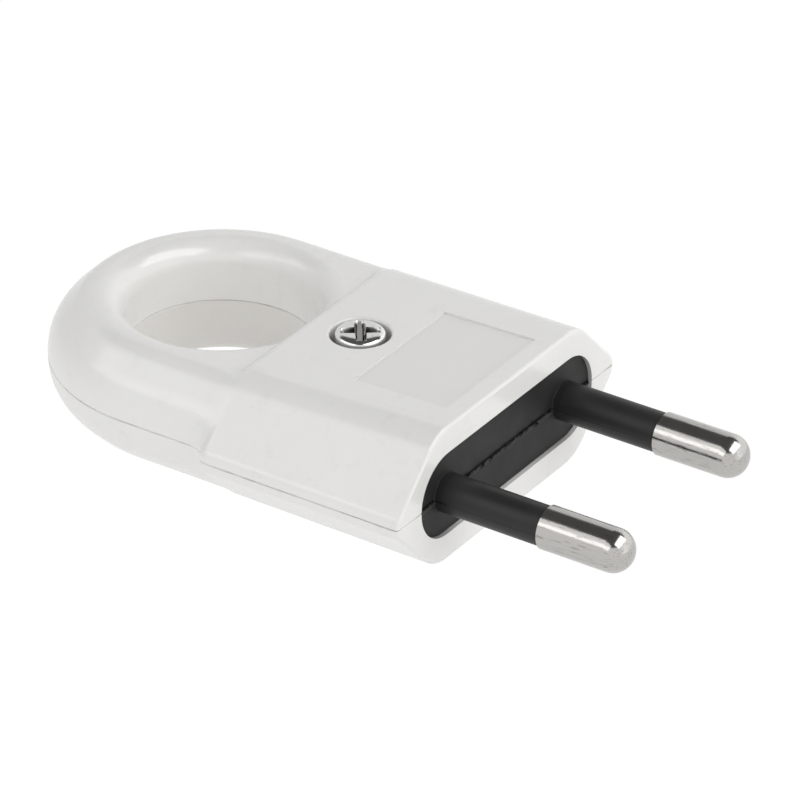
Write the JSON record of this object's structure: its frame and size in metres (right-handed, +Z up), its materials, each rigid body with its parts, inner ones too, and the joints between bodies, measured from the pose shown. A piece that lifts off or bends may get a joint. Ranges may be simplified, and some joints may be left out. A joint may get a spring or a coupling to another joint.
{
  "type": "flat mains plug with finger ring",
  "caption": "Flat unearthed mains plug with round, sleeved contact pins, a screwed split housing with sloping sides and a finger ring to pull it by.",
  "frame": {"origin": "middle of the engagement face, between the pins, on the plane of the pin axes where the shells part", "axes": "+Z up out of the face with the screw head, -Y along the pins, +Y towards the finger ring, +X to the arm with the cord channel"},
  "size_m": [0.035, 0.0647, 0.0136],
  "materials": {
    "white_plastic": "semi-gloss moulded white",
    "black_plastic": "satin moulded black",
    "nickel": "bright nickel plating over brass",
    "zinc_steel": "bright zinc-plated steel"
  },
  "bodies": {
    "root": {"upper_shell": "white_plastic", "lower_shell": "white_plastic", "pin_carrier": "black_plastic", "left_pin": "nickel", "right_pin": "nickel", "left_terminal_screw": "zinc_steel", "right_terminal_screw": "zinc_steel", "housing_screw": "zinc_steel", "housing_nut": "zinc_steel"}
  },
  "joints": []
}
